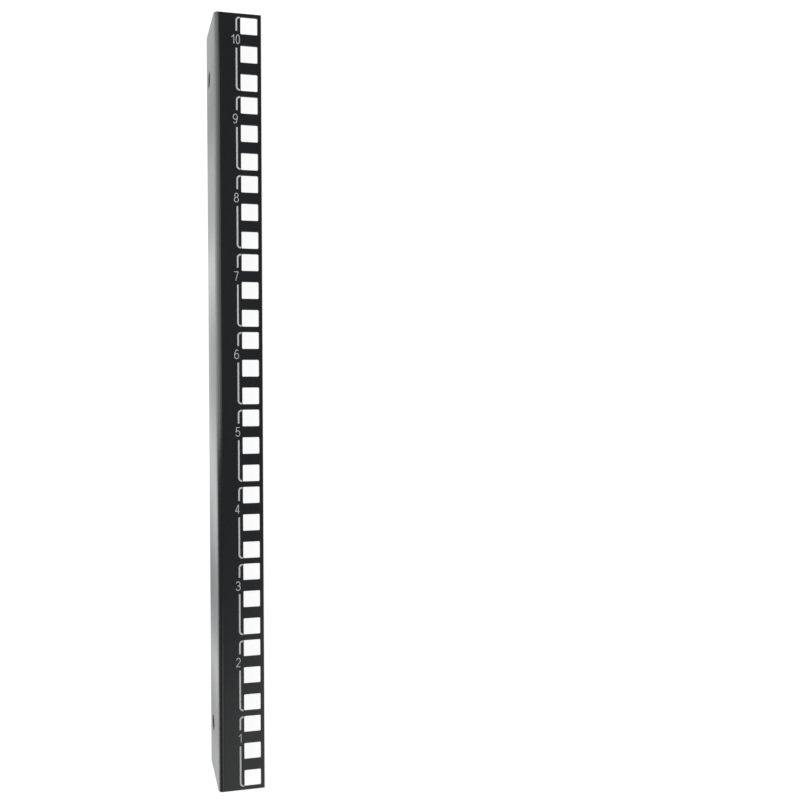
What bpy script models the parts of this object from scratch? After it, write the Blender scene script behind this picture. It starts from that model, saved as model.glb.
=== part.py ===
"""Rack mounting rail: one strip of sheet steel, punched and then bent once into an L.

Metres, +Z up. The rail is modelled upright, as it is mounted: Z along it from its bottom end, the front
flange facing -Y, the web running back from its left edge, and the outer corner of the bend at X = Y = 0.
It is then laid down along X, top end towards +X, resting on its two long free edges with the bend on top.
The front flange then faces -Y and up, and the origin is on the floor under the middle of the rail.
"""

from math import atan2, cos, pi, radians, sin

import bmesh
import bpy
from mathutils import Matrix, Vector

# Sheet and section, measured outside the bend
SHEET = 0.0015
FLANGE_WIDTH = 0.0264
WEB_DEPTH = 0.050
BEND_INSIDE = 0.0010

# Rack pattern: three holes in each unit, centred in it
UNITS = 10
UNIT_PITCH = 0.04445
HOLES_PER_UNIT = 3
HOLE_STEP = 0.015875
HOLE_SIDE = 0.0095
HOLE_CORNER = 0.0005
HOLE_TO_FREE_EDGE = 0.0069
END_MARGIN = 0.0004

# Oblong fixing holes in the web, one near each end
SLOT_LENGTH = 0.011
SLOT_HEIGHT = 0.009
SLOT_TO_END = 0.0293
SLOT_TO_REAR_EDGE = 0.0158

# Edges are broken before the coat goes on
EDGE_BREAK = 0.0002

BEND_FACETS = 10
HOLE_CORNER_FACETS = 3
SLOT_END_FACETS = 10
EDGE_FACETS = 1
PUNCH_OVERRUN = 0.002
SHARP_ANGLE = radians(40)

LENGTH = UNITS * UNIT_PITCH + 2 * END_MARGIN
BEND_OUTSIDE = BEND_INSIDE + SHEET
HOLE_LINE = FLANGE_WIDTH - HOLE_TO_FREE_EDGE
FIRST_HOLE = END_MARGIN + (UNIT_PITCH - (HOLES_PER_UNIT - 1) * HOLE_STEP) / 2


def clear_scene():
    for obj in list(bpy.data.objects):
        bpy.data.objects.remove(obj, do_unlink=True)


def new_collection(name, hidden=False):
    collection = bpy.data.collections.new(name)
    collection.hide_render = hidden
    bpy.context.scene.collection.children.link(collection)
    return collection


def object_from(name, bm, stance, collection):
    mesh = bpy.data.meshes.new(name)
    bm.to_mesh(mesh)
    bm.free()
    obj = bpy.data.objects.new(name, mesh)
    obj.parent = stance
    collection.objects.link(obj)
    return obj


def section_path():
    """The outer line of the L, from the flange's free edge round the bend to the web's rear edge."""
    points = [(FLANGE_WIDTH, 0)]
    for step in range(BEND_FACETS + 1):
        turn = step / BEND_FACETS * pi / 2
        points.append((BEND_OUTSIDE * (1 - sin(turn)), BEND_OUTSIDE * (1 - cos(turn))))
    points.append((0, WEB_DEPTH))
    return points


def face_outwards(bm):
    """Turns each face of the strip away from the open side of the L, where the two free edges lie."""
    bm.normal_update()
    for face in bm.faces:
        outwards = face.calc_center_median() - Vector((FLANGE_WIDTH, WEB_DEPTH, LENGTH / 2))
        if face.normal.dot(outwards) < 0:
            face.normal_flip()


def bent_strip(stance, collection):
    """The strip before punching: its outer line drawn up to the rail's length and thickened inwards."""
    bm = bmesh.new()
    foot = [bm.verts.new((x, y, 0)) for x, y in section_path()]
    lines = [bm.edges.new(pair) for pair in zip(foot, foot[1:])]
    drawn = bmesh.ops.extrude_edge_only(bm, edges=lines)["geom"]
    top = [item for item in drawn if isinstance(item, bmesh.types.BMVert)]
    bmesh.ops.translate(bm, verts=top, vec=(0, 0, LENGTH))
    face_outwards(bm)
    strip = object_from("rack_rail", bm, stance, collection)
    wall = strip.modifiers.new("sheet", "SOLIDIFY")
    wall.thickness = SHEET
    wall.offset = -1
    wall.use_even_offset = True
    return strip


def punch(name, size, axis, corner, facets, stance, collection):
    """A punch of the given size. Its four edges along axis are rounded to the corner radius.

    Where two rounded corners meet in a full half circle, their shared points become one.
    """
    bm = bmesh.new()
    bmesh.ops.create_cube(bm, size=1)
    bmesh.ops.scale(bm, verts=bm.verts, vec=size)
    along = Vector(axis)
    long_edges = [e for e in bm.edges if abs((e.verts[0].co - e.verts[1].co).normalized().dot(along)) > 0.9]
    bmesh.ops.bevel(bm, geom=long_edges, offset=corner, segments=facets, profile=0.5, affect="EDGES")
    bmesh.ops.remove_doubles(bm, verts=bm.verts, dist=corner / facets / 100)
    cutter = object_from(name, bm, stance, collection)
    cutter.display_type = "WIRE"
    cutter.hide_render = True
    return cutter


def repeat(obj, name, count, step):
    row = obj.modifiers.new(name, "ARRAY")
    row.count = count
    row.use_relative_offset = False
    row.use_constant_offset = True
    row.constant_offset_displace = (0, 0, step)


def cut(obj, cutter):
    hole = obj.modifiers.new(cutter.name, "BOOLEAN")
    hole.operation = "DIFFERENCE"
    hole.solver = "EXACT"
    hole.object = cutter


def square_hole_punch(stance, collection):
    size = (HOLE_SIDE, SHEET + 2 * PUNCH_OVERRUN, HOLE_SIDE)
    corner = min(HOLE_CORNER, HOLE_SIDE / 2)
    tool = punch("square_hole_punch", size, (0, 1, 0), corner, HOLE_CORNER_FACETS, stance, collection)
    tool.location = (HOLE_LINE, SHEET / 2, FIRST_HOLE)
    repeat(tool, "holes_in_unit", HOLES_PER_UNIT, HOLE_STEP)
    repeat(tool, "units", UNITS, UNIT_PITCH)
    return tool


def web_slot_punch(stance, collection):
    size = (SHEET + 2 * PUNCH_OVERRUN, SLOT_LENGTH, SLOT_HEIGHT)
    corner = min(SLOT_LENGTH, SLOT_HEIGHT) / 2
    tool = punch("web_slot_punch", size, (1, 0, 0), corner, SLOT_END_FACETS, stance, collection)
    tool.location = (SHEET / 2, WEB_DEPTH - SLOT_TO_REAR_EDGE, SLOT_TO_END)
    repeat(tool, "both_ends", 2, LENGTH - 2 * SLOT_TO_END)
    return tool


def break_edges(obj):
    edges = obj.modifiers.new("broken_edges", "BEVEL")
    edges.width = EDGE_BREAK
    edges.segments = EDGE_FACETS
    edges.limit_method = "ANGLE"
    edges.angle_limit = SHARP_ANGLE
    edges.use_clamp_overlap = False


def lay_down(stance, rail):
    """Turns the stance so that the rail lies along X on its two free edges, its middle over the origin."""
    lean = atan2(FLANGE_WIDTH - SHEET, WEB_DEPTH - SHEET)
    turned = Matrix.Rotation(-lean, 4, "X") @ Matrix.Rotation(pi / 2, 4, "Y")
    punched = rail.evaluated_get(bpy.context.evaluated_depsgraph_get())
    corners = [turned @ vertex.co for vertex in punched.data.vertices]
    lowest = Vector(min(corner[axis] for corner in corners) for axis in range(3))
    highest = Vector(max(corner[axis] for corner in corners) for axis in range(3))
    under_middle = Vector(((lowest.x + highest.x) / 2, (lowest.y + highest.y) / 2, lowest.z))
    stance.matrix_world = Matrix.Translation(-under_middle) @ turned


def black_coat():
    """Black powder coat with a satin shine."""
    material = bpy.data.materials.new("black_powder_coat")
    material.use_nodes = True
    shader = material.node_tree.nodes["Principled BSDF"]
    shader.inputs["Base Color"].default_value = (0.017, 0.018, 0.019, 1)
    shader.inputs["Roughness"].default_value = 0.42
    shader.inputs["Metallic"].default_value = 0.0
    return material


def main():
    clear_scene()
    rail_parts = new_collection("rack_mounting_rail")
    punches = new_collection("punches", hidden=True)
    stance = bpy.data.objects.new("stance", None)
    rail_parts.objects.link(stance)
    rail = bent_strip(stance, rail_parts)
    cut(rail, square_hole_punch(stance, punches))
    cut(rail, web_slot_punch(stance, punches))
    break_edges(rail)
    rail.data.materials.append(black_coat())
    lay_down(stance, rail)


main()
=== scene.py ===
# Dresses the rack mounting rail: satin black powder coat on the steel, and pale printed unit marks on its
# front face. Metres. The rail lies along X on its two free edges with the bend on top, and unit 10 is at the
# +X end.
from math import atan2, cos, pi, radians, sin

import bpy
import numpy as np
from mathutils import Matrix, Vector
from mathutils.geometry import delaunay_2d_cdt


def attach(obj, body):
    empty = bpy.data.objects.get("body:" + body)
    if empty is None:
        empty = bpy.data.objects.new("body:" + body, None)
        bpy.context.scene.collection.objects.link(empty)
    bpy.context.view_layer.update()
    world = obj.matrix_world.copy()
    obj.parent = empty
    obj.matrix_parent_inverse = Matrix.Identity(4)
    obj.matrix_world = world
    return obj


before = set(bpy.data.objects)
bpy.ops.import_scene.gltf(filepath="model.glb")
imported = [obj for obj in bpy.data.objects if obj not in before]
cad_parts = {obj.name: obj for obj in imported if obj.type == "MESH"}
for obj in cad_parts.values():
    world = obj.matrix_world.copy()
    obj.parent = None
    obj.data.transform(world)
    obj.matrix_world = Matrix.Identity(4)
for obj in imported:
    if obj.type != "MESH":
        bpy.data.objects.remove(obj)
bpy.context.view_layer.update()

mm = 0.001
print("frame loaded")

# The rail's driving sizes in mm, as it is mounted: x from the web's outer face, y back from the front face,
# z up from its lower end
railSet = {
    "node": "rack_rail",
    "flange": 26.4,        # width of the front face, outside the bend
    "web": 50.0,           # depth of the side face, outside the bend
    "sheet": 1.5,
    "units": 10,
    "unitPitch": 44.45,    # one rack unit
    "endMargin": 0.4,      # steel beyond the first and last unit
}


def railPlanes():
    # The leaning angle is that of a strip resting on the inner corners of its two free edges. Each plane's
    # place is the furthest that the solid reaches along the plane's own normal.
    lean = atan2(railSet["flange"] - railSet["sheet"], railSet["web"] - railSet["sheet"])
    webNormal = np.array([0, sin(lean), cos(lean)])
    frontNormal = np.array([0, -cos(lean), sin(lean)])
    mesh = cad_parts[railSet["node"]].data
    points = np.empty(len(mesh.vertices) * 3, np.float32)
    mesh.vertices.foreach_get("co", points)
    points = points.reshape(-1, 3)
    return {
        "webNormal": webNormal,
        "frontNormal": frontNormal,
        "web": (points @ webNormal).max(),
        "front": (points @ frontNormal).max(),
        "lowEnd": points[:, 0].min(),
    }


rail = railPlanes()


def turned(directions):
    # Turns directions given as mounted (right, back, up) into the lying rail's frame
    right, back, up = np.atleast_2d(directions).T
    return (
        up[:, None] * np.array([1.0, 0.0, 0.0])
        - right[:, None] * rail["webNormal"]
        - back[:, None] * rail["frontNormal"]
    )


def placed(points):
    # Points in mm on the mounted rail, as metres on the lying one
    origin = (
        np.array([rail["lowEnd"], 0.0, 0.0])
        + rail["web"] * rail["webNormal"]
        + rail["front"] * rail["frontNormal"]
    )
    return origin + mm * turned(points)


# Camera: where the photograph was taken from, before the mounted rail, in mm and degrees
cameraSet = {
    "lens": 45.58,
    "sensor": 36.0,
    "eye": (-52.6, -582.9, 247.9),
    "heading": 15.433,      # to the right of square on
    "lookDown": 2.095,
    "nearest": 20.0,        # nothing closer than this is drawn
}


def addCamera():
    # Right, forward and up make the axes, and the camera looks along its own -Z
    heading = radians(cameraSet["heading"])
    down = radians(cameraSet["lookDown"])
    right = np.array([cos(heading), -sin(heading), 0.0])
    forward = np.array([sin(heading) * cos(down), cos(heading) * cos(down), -sin(down)])
    up = np.cross(right, forward)
    axes = turned([right, up, -forward])
    camera = bpy.data.objects.new("camera", bpy.data.cameras.new("camera"))
    camera.data.lens = cameraSet["lens"]
    camera.data.sensor_width = cameraSet["sensor"]
    camera.data.clip_start = cameraSet["nearest"] * mm
    matrix = Matrix(axes.T.tolist()).to_4x4()
    matrix.translation = Vector(placed(cameraSet["eye"])[0])
    camera.matrix_world = matrix
    bpy.context.scene.collection.objects.link(camera)
    bpy.context.scene.camera = camera


addCamera()
print("camera set")


# Material helpers
def linearHex(code):
    # sRGB hex colour to linear RGBA
    srgb = np.array([int(code[i:i + 2], 16) for i in (1, 3, 5)]) / 255
    linear = np.where(srgb <= 0.04045, srgb / 12.92, ((srgb + 0.055) / 1.055) ** 2.4)
    return (*linear.tolist(), 1.0)


def addNode(tree, kind, values=None, links=None, **settings):
    # Adds one node: settings on the node, values on its sockets, links from other nodes' sockets
    node = tree.nodes.new(kind)
    for name, value in settings.items():
        setattr(node, name, value)
    for socket, value in (values or {}).items():
        node.inputs[socket].default_value = value
    for socket, source in (links or {}).items():
        tree.links.new(source, node.inputs[socket])
    return node


def newMaterial(name):
    material = bpy.data.materials.new(name)
    material.use_nodes = True
    material.node_tree.nodes.clear()
    return material, material.node_tree


# Black powder coat: polyester powder sprayed dry and baked. It reads as a deep black with a satin shine. The
# web took the powder less evenly, so at a low angle its pale mirror has slow bands, glossier and drier.
coatSet = {
    "thick": "#0a0b0d",
    "thin": "#111416",
    "cloud": 38.0,             # mm, size of the patches where the coat is thicker or thinner
    "front": 0.15,             # roughness of the front face
    "flowed": 0.13,            # of the web, where the powder flowed out well
    "dry": 0.43,               # and where it stayed drier
    "band": 100.0,             # mm along the rail, length of a glossy or dry stretch
    "bandAcross": 500.0,       # mm, so that a band runs right across the web
    "bandStart": 62.75,        # moves the bands along the rail, in band lengths
    "bandRange": (0.35, 0.65),  # noise from which the finish is drier, and at which it is driest
    "turn": (-0.6, 0.2),       # Y of the normals, over which the front's finish turns into the web's
    "cutEdge": 0.62,           # roughness on punched and sheared edges across the rail
    "runOut": 3.1,             # mm from the web's face, where the front starts to turn into the bend
    "runOutEase": 0.4,         # mm, over which it starts
    "runOutSlope": 0.14,       # tangent of the angle it has turned by where the solid's own bend begins
    "ior": 1.5,
    "peel": 2.2,               # mm, orange peel, drawn coarser than the real 1 mm, which is too fine to show
    "peelHeight": 0.008,       # mm
    "grit": 0.7,               # mm, powder grain
    "gritHeight": 0.003,       # mm
}


def coatRoughness(tree, place, normal):
    # Noise stretched across the web gives its bands of gloss. The front face, told by its normal's Y, has an
    # even finish, and what faces along the rail is a punched or sheared edge, which is rougher.
    along = 1 / (coatSet["band"] * mm)
    across = 1 / (coatSet["bandAcross"] * mm)
    start, driest = coatSet["bandRange"]
    frontwise, webwards = coatSet["turn"]
    stretched = addNode(tree, "ShaderNodeMapping",
                        {"Location": (coatSet["bandStart"], 0, 0), "Scale": (along, across, across)},
                        {"Vector": place}).outputs["Vector"]
    bands = addNode(tree, "ShaderNodeTexNoise", {"Scale": 1, "Detail": 1},
                    {"Vector": stretched}).outputs["Fac"]
    gloss = addNode(tree, "ShaderNodeMapRange",
                    {"From Min": start, "From Max": driest,
                     "To Min": coatSet["flowed"], "To Max": coatSet["dry"]},
                    {"Value": bands}).outputs["Result"]
    facing = addNode(tree, "ShaderNodeSeparateXYZ", links={"Vector": normal}).outputs
    webwise = addNode(tree, "ShaderNodeMapRange", {"From Min": frontwise, "From Max": webwards},
                      {"Value": facing["Y"]}).outputs["Result"]
    faces = addNode(tree, "ShaderNodeMix", {"A": coatSet["front"]},
                    {"Factor": webwise, "B": gloss}).outputs["Result"]
    endwise = addNode(tree, "ShaderNodeMath", operation="ABSOLUTE", links={0: facing["X"]}).outputs[0]
    return addNode(tree, "ShaderNodeMix", {"B": coatSet["cutEdge"]},
                   {"Factor": endwise, "A": faces}).outputs["Result"]


def coatNormal(tree, place):
    # Three reliefs, each on top of the last: the bend's run-out, which falls away towards the web, then
    # orange peel, then powder grain
    depth = addNode(tree, "ShaderNodeVectorMath", {1: rail["webNormal"]}, {0: place},
                    operation="DOT_PRODUCT").outputs["Value"]
    inwards = addNode(tree, "ShaderNodeMath", {1: 1 / mm, 2: coatSet["runOut"] - rail["web"] / mm},
                      {0: depth}, operation="MULTIPLY_ADD").outputs[0]
    eased = addNode(tree, "ShaderNodeMath", {1: 0, 2: coatSet["runOutEase"]}, {0: inwards},
                    operation="SMOOTH_MAX").outputs[0]
    turning = addNode(tree, "ShaderNodeBump", {"Strength": 1, "Distance": coatSet["runOutSlope"] * mm},
                      {"Height": eased}, invert=True).outputs["Normal"]
    peel = addNode(tree, "ShaderNodeTexNoise", {"Scale": 1 / (coatSet["peel"] * mm), "Detail": 1},
                   {"Vector": place}).outputs["Fac"]
    waves = addNode(tree, "ShaderNodeBump", {"Strength": 1, "Distance": coatSet["peelHeight"] * mm},
                    {"Height": peel, "Normal": turning}).outputs["Normal"]
    grit = addNode(tree, "ShaderNodeTexNoise", {"Scale": 1 / (coatSet["grit"] * mm), "Detail": 0},
                   {"Vector": place}).outputs["Fac"]
    return addNode(tree, "ShaderNodeBump", {"Strength": 1, "Distance": coatSet["gritHeight"] * mm},
                   {"Height": grit, "Normal": waves}).outputs["Normal"]


def blackPowderCoat():
    material, tree = newMaterial("blackPowderCoat")
    texture = addNode(tree, "ShaderNodeTexCoord").outputs
    place = texture["Object"]
    cloud = addNode(tree, "ShaderNodeTexNoise", {"Scale": 1 / (coatSet["cloud"] * mm), "Detail": 3},
                    {"Vector": place}).outputs["Fac"]
    colour = addNode(tree, "ShaderNodeMix",
                     {"A": linearHex(coatSet["thick"]), "B": linearHex(coatSet["thin"])},
                     {"Factor": cloud}, data_type="RGBA").outputs["Result"]
    shader = addNode(tree, "ShaderNodeBsdfPrincipled", {"IOR": coatSet["ior"], "Metallic": 0},
                     {"Base Color": colour, "Roughness": coatRoughness(tree, place, texture["Normal"]),
                      "Normal": coatNormal(tree, place)})
    addNode(tree, "ShaderNodeOutputMaterial", links={"Surface": shader.outputs["BSDF"]})
    return material


# Screen printing ink: a thin light grey enamel pressed through a mesh and dried. It reads as flat and
# chalky, a little thinner in places, so that the black shows faintly through.
inkSet = {
    "full": "#b2b4b3",
    "starved": "#999c9b",
    "mesh": 0.55,             # mm, blotches left by the screen
    "roughness": 0.55,
    "ior": 1.48,
    "tooth": 0.006,           # mm, height of the blotches
}


def screenPrintInk():
    material, tree = newMaterial("screenPrintInk")
    place = addNode(tree, "ShaderNodeTexCoord").outputs["Object"]
    blotch = addNode(tree, "ShaderNodeTexNoise", {"Scale": 1 / (inkSet["mesh"] * mm), "Detail": 2},
                     {"Vector": place}).outputs["Fac"]
    colour = addNode(tree, "ShaderNodeMix",
                     {"A": linearHex(inkSet["full"]), "B": linearHex(inkSet["starved"])},
                     {"Factor": blotch}, data_type="RGBA").outputs["Result"]
    tooth = addNode(tree, "ShaderNodeBump", {"Strength": 1, "Distance": inkSet["tooth"] * mm},
                    {"Height": blotch}).outputs["Normal"]
    shader = addNode(tree, "ShaderNodeBsdfPrincipled",
                     {"IOR": inkSet["ior"], "Metallic": 0, "Roughness": inkSet["roughness"]},
                     {"Base Color": colour, "Normal": tooth})
    addNode(tree, "ShaderNodeOutputMaterial", links={"Surface": shader.outputs["BSDF"]})
    return material


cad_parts[railSet["node"]].data.materials.clear()
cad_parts[railSet["node"]].data.materials.append(blackPowderCoat())
ink = screenPrintInk()
print("materials made")

# Printed marks: in each unit a bracket that opens towards the holes, broken for the unit's number. In mm, x
# from the web's outer face.
markSet = {
    "body": "root",
    "slot": "print_ink",
    "proud": 0.03,            # ink above the face
    "sunk": 0.02,             # and keyed into the coat
    "line": 12.45,            # middle of the bracket's line
    "lineWidth": 0.9,
    "armReach": 1.9,          # from the line's middle to the arm's tip, just short of the holes
    "armToUnit": 2.0,         # arm's middle to the border between units
    "corner": 1.7,            # radius of the line's middle where it turns into an arm
    "cornerSteps": 9,
    "breakMiddle": 30.2,      # above the unit's lower border
    "breakLength": 9.55,
    "digitWidth": 2.65,
    "digitHeight": 5.4,
    "digitStroke": 0.38,
    "digitGap": 0.0,          # between the boxes of the two digits of 10
    # How far a number's middle stands left of the line
    "aside": {"1": 0.0, "3": 0.7, "5": 0.45, "8": 0.55, "10": 0.55},
    "asideElse": 0.9,
    "merge": 0.00001,         # points of crossing strokes closer than this become one
}


def bow(cx, cy, rx, ry, start, end, steps=20):
    # Arc of an ellipse: centre plus each radius times the cosine or sine of an angle swept in degrees
    angle = np.radians(np.linspace(start, end, steps))
    return np.stack([cx + rx * np.cos(angle), cy + ry * np.sin(angle)], axis=1)


def way(*parts):
    # One path through points and arcs, in the order given
    return np.concatenate([np.atleast_2d(part) for part in parts])


def ring(cx, cy, rx, ry):
    # A whole ellipse whose last point is its first again, which marks it as closed
    return bow(cx, cy, rx, ry, 0, 360, 37)


# Middle lines of the digits' strokes, in a box one wide and one high
six = [
    ring(0.5, 0.3, 0.5, 0.3),
    way(bow(0.56, 0.3, 0.56, 0.7, 180, 92, 16), bow(0.56, 0.8, 0.38, 0.2, 85, 25, 8)),
]
digitStrokes = {
    "0": [ring(0.5, 0.5, 0.43, 0.5)],
    "1": [way((0.68, 0.0), (0.68, 1.0)), way((0.12, 0.74), (0.40, 0.80), (0.68, 0.97))],
    "2": [way(bow(0.5, 0.71, 0.46, 0.29, 172, -28), (0.0, 0.02)), way((-0.1, 0.0), (1.0, 0.0))],
    "3": [
        way(bow(0.46, 0.75, 0.44, 0.25, 165, -88), (0.3, 0.505)),
        way((0.3, 0.505), bow(0.46, 0.265, 0.54, 0.265, 85, -165)),
    ],
    "4": [
        way((0.72, 1.0), (0.0, 0.28)),
        way((-0.05, 0.27), (1.0, 0.27)),
        way((0.72, 1.02), (0.72, 0.0)),
    ],
    "5": [way((0.95, 1.0), (0.18, 1.0), (0.06, 0.46)), bow(0.48, 0.32, 0.50, 0.32, 150, -160)],
    "6": six,
    "7": [way((0.0, 1.0), (1.0, 1.0), (0.62, 0.45), (0.42, 0.0))],
    "8": [ring(0.5, 0.76, 0.42, 0.24), ring(0.5, 0.27, 0.5, 0.27)],
    "9": [1 - stroke for stroke in six],
}


def ribbon(path, width):
    # Both edges of a stroke: the path moved by half the width along its normal, which at a corner is the sum
    # of the two normals there over one plus their product, so that the stroke keeps its width
    closed = np.allclose(path[0], path[-1])
    run = np.diff(path, axis=0)
    run /= np.linalg.norm(run, axis=1, keepdims=True)
    before = np.vstack([run[-1] if closed else run[0], run])
    after = np.vstack([run, run[0] if closed else run[-1]])
    normals = [np.stack([-side[:, 1], side[:, 0]], axis=1) for side in (before, after)]
    mitre = (normals[0] + normals[1]) / (1 + (normals[0] * normals[1]).sum(axis=1, keepdims=True))
    return path + mitre * width / 2, path - mitre * width / 2


def inkPiece(name, paths, width):
    # Closed raised print: the union of the strokes is triangulated flat, then its copy below is joined to it
    # by a wall along each border edge, which is an edge that only one triangle uses
    points, quads = [], []
    for path in paths:
        left, right = ribbon(path, width)
        first, count = len(points), len(path)
        points += [Vector(point) for point in np.concatenate([left, right]).tolist()]
        quads += [(i, count + i, count + i + 1, i + 1) for i in range(first, first + count - 1)]
    flat, _, cells, _, _, covers = delaunay_2d_cdt(points, [], quads, 0, markSet["merge"])
    triangles = np.array([cell for cell, cover in zip(cells, covers) if cover])
    used, triangles = np.unique(triangles, return_inverse=True)
    triangles = triangles.reshape(-1, 3)
    flat = np.array([flat[i][:] for i in used])
    count = len(flat)
    edges = np.concatenate([triangles[:, [0, 1]], triangles[:, [1, 2]], triangles[:, [2, 0]]])
    border = edges[~np.isin(edges @ [count, 1], edges @ [1, count])]
    levels = [np.stack([flat[:, 0], np.full(count, depth), flat[:, 1]], axis=1)
              for depth in (-markSet["proud"], markSet["sunk"])]
    walls = np.stack([border[:, 1], border[:, 0], border[:, 0] + count, border[:, 1] + count], axis=1)
    faces = triangles.tolist() + (triangles[:, ::-1] + count).tolist() + walls.tolist()
    mesh = bpy.data.meshes.new(name)
    mesh.from_pydata(placed(np.concatenate(levels)).tolist(), [], faces)
    mesh.materials.append(ink)
    piece = bpy.data.objects.new(name, mesh)
    bpy.context.scene.collection.objects.link(piece)
    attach(piece, markSet["body"])
    return piece


def bracketPaths(floor):
    # Two strokes: from the lower arm's tip round the corner to the break, and from the break to the upper
    # arm's tip
    line, corner = markSet["line"], markSet["corner"]
    tip = line + markSet["armReach"]
    low = floor + markSet["armToUnit"]
    high = floor + railSet["unitPitch"] - markSet["armToUnit"]
    middle = floor + markSet["breakMiddle"]
    half = markSet["breakLength"] / 2
    lowBow = bow(line + corner, low + corner, corner, corner, 270, 180, markSet["cornerSteps"])
    highBow = bow(line + corner, high - corner, corner, corner, 180, 90, markSet["cornerSteps"])
    return [
        way((tip, low), lowBow, (line, middle - half)),
        way((line, middle + half), highBow, (tip, high)),
    ]


def numberPaths(text, floor):
    # Each digit's box is scaled to its size less the stroke, and the digits stand side by side about the
    # middle
    stroke, gap = markSet["digitStroke"], markSet["digitGap"]
    size = np.array([markSet["digitWidth"] - stroke, markSet["digitHeight"] - stroke])
    step = markSet["digitWidth"] + gap
    centre = markSet["line"] - markSet["aside"].get(text, markSet["asideElse"])
    left = centre - size[0] / 2 - step * (len(text) - 1) / 2
    foot = floor + markSet["breakMiddle"] - size[1] / 2
    return [
        path * size + (left + place * step, foot)
        for place, digit in enumerate(text) for path in digitStrokes[digit]
    ]


for unit in range(1, railSet["units"] + 1):
    floor = railSet["endMargin"] + (unit - 1) * railSet["unitPitch"]
    inkPiece(f"unit_bracket_{unit:02d}", bracketPaths(floor), markSet["lineWidth"])
    inkPiece(f"unit_number_{unit:02d}", numberPaths(str(unit), floor), markSet["digitStroke"])
print("unit marks printed")

# Studio: white paper floor, white walls and a dark ceiling. A soft box above is in two parts, a strip lights
# from low behind and a white card from the front left. Brightness is given as a share of white.
studioSet = {
    "paper": "#e2e2e2",                     # what the floor sends back to the rail
    "floorHalf": 6.0,                       # m
    "glow": 0.95,                           # the share of the floor's white that no shadow darkens
    "shadowed": 0.07,                       # and the share that the rail's shadow does
    "wall": 1.0,
    "ceiling": 0.27,
    "ceilingMiddle": (0.22, -0.43, 0.875),  # its direction from the rail
    "ceilingEdge": (51.0, 52.2),            # degrees from there to where it ends and the wall begins
    "lamps": [
        # name, place and size in m, brightness
        ("overhead", (0.255, 0.3125, 0.8), (0.69, 1.425), 3.4),
        ("overheadFront", (0.255, -0.775, 0.8), (0.69, 0.75), 1.7),
        ("cardFrontLeft", (-1.0, -0.9, 0.8), (1.1, 0.8), 1.0),
        ("lowBehind", (0.0, 1.95, 0.8), (3.0, 1.7), 3.0),
    ],
}


def seenRays(tree):
    # 1 for rays from the camera, from gloss and through glass, otherwise 0
    rays = addNode(tree, "ShaderNodeLightPath").outputs
    pair = addNode(tree, "ShaderNodeMath", operation="MAXIMUM",
                   links={0: rays["Is Camera Ray"], 1: rays["Is Glossy Ray"]}).outputs[0]
    return addNode(tree, "ShaderNodeMath", operation="MAXIMUM",
                   links={0: pair, 1: rays["Is Transmission Ray"]}).outputs[0]


def paperFloor():
    # White studio paper: matt, and as the camera sees it white with only a light shadow under the rail
    material, tree = newMaterial("whiteStudioPaper")
    paper = addNode(tree, "ShaderNodeBsdfDiffuse", {"Color": linearHex(studioSet["paper"])}).outputs[0]
    shade = addNode(tree, "ShaderNodeBsdfDiffuse", {"Color": (studioSet["shadowed"],) * 3 + (1,)}).outputs[0]
    glow = addNode(tree, "ShaderNodeEmission", {"Strength": studioSet["glow"]}).outputs[0]
    seen = addNode(tree, "ShaderNodeAddShader", links={0: shade, 1: glow}).outputs[0]
    mixed = addNode(tree, "ShaderNodeMixShader", links={0: seenRays(tree), 1: paper, 2: seen}).outputs[0]
    addNode(tree, "ShaderNodeOutputMaterial", links={"Surface": mixed})
    half = studioSet["floorHalf"]
    mesh = bpy.data.meshes.new("floor")
    corners = [(-half, -half, 0), (half, -half, 0), (half, half, 0), (-half, half, 0)]
    mesh.from_pydata(corners, [], [(0, 1, 2, 3)])
    mesh.materials.append(material)
    floor = bpy.data.objects.new("floor", mesh)
    bpy.context.scene.collection.objects.link(floor)


def wallsAndCeiling():
    # The brightness goes by the angle between a direction and the middle of the ceiling
    world = bpy.data.worlds.new("wallsAndCeiling")
    bpy.context.scene.world = world
    world.use_nodes = True
    tree = world.node_tree
    tree.nodes.clear()
    direction = addNode(tree, "ShaderNodeTexCoord").outputs["Generated"]
    nearness = addNode(tree, "ShaderNodeVectorMath", {1: studioSet["ceilingMiddle"]}, {0: direction},
                       operation="DOT_PRODUCT").outputs["Value"]
    dark, white = (cos(radians(edge)) for edge in studioSet["ceilingEdge"])
    strength = addNode(tree, "ShaderNodeMapRange",
                       {"From Min": white, "From Max": dark,
                        "To Min": studioSet["wall"], "To Max": studioSet["ceiling"]},
                       {"Value": nearness}).outputs["Result"]
    light = addNode(tree, "ShaderNodeBackground", {"Color": (1, 1, 1, 1)}, {"Strength": strength}).outputs[0]
    addNode(tree, "ShaderNodeOutputWorld", links={"Surface": light})


def softLamps():
    # A lamp's power is its brightness times pi times its area
    for name, place, size, brightness in studioSet["lamps"]:
        lamp = bpy.data.lights.new(name, "AREA")
        lamp.shape = "RECTANGLE"
        lamp.size, lamp.size_y = size
        lamp.energy = brightness * pi * size[0] * size[1]
        holder = bpy.data.objects.new(name, lamp)
        holder.location = place
        bpy.context.scene.collection.objects.link(holder)


paperFloor()
wallsAndCeiling()
softLamps()
bpy.context.scene.view_settings.view_transform = "Standard"
print("studio lit")
